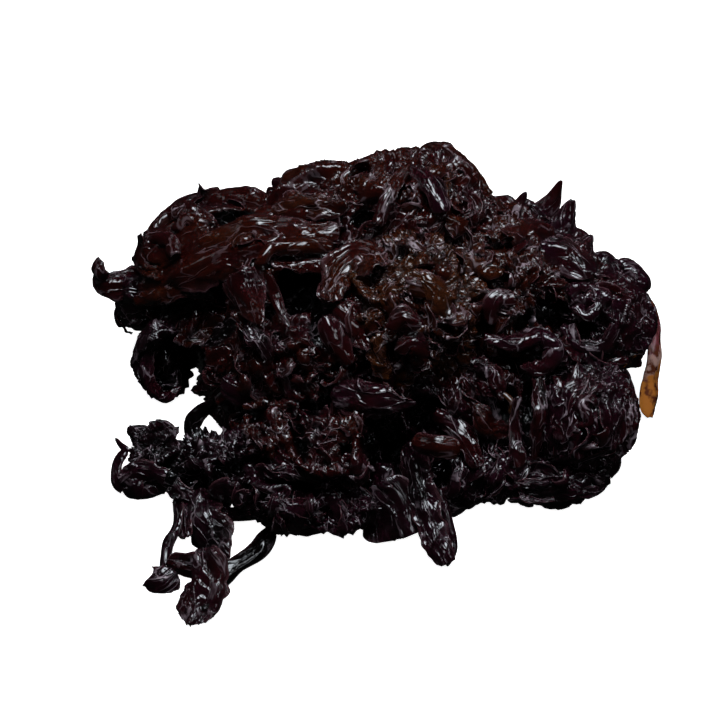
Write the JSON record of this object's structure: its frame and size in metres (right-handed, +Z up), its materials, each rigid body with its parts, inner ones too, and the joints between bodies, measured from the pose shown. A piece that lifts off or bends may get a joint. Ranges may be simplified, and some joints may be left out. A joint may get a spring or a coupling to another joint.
{
  "type": "dried laver",
  "caption": "Crumpled heap of dried laver, with glossy folded fronds, curled lobes, thin strands and ruffled edges.",
  "frame": {"origin": "centre of the underside, on the table", "axes": "+Z up from the table; the side that the picture shows faces -Y, and +X is to its right"},
  "size_m": [0.1414, 0.129, 0.0549],
  "materials": {
    "laver": "glossy, leathery and wrinkled dried frond, purple-black to red-brown"
  },
  "bodies": {
    "root": {"laver_heap": "laver"}
  },
  "joints": []
}
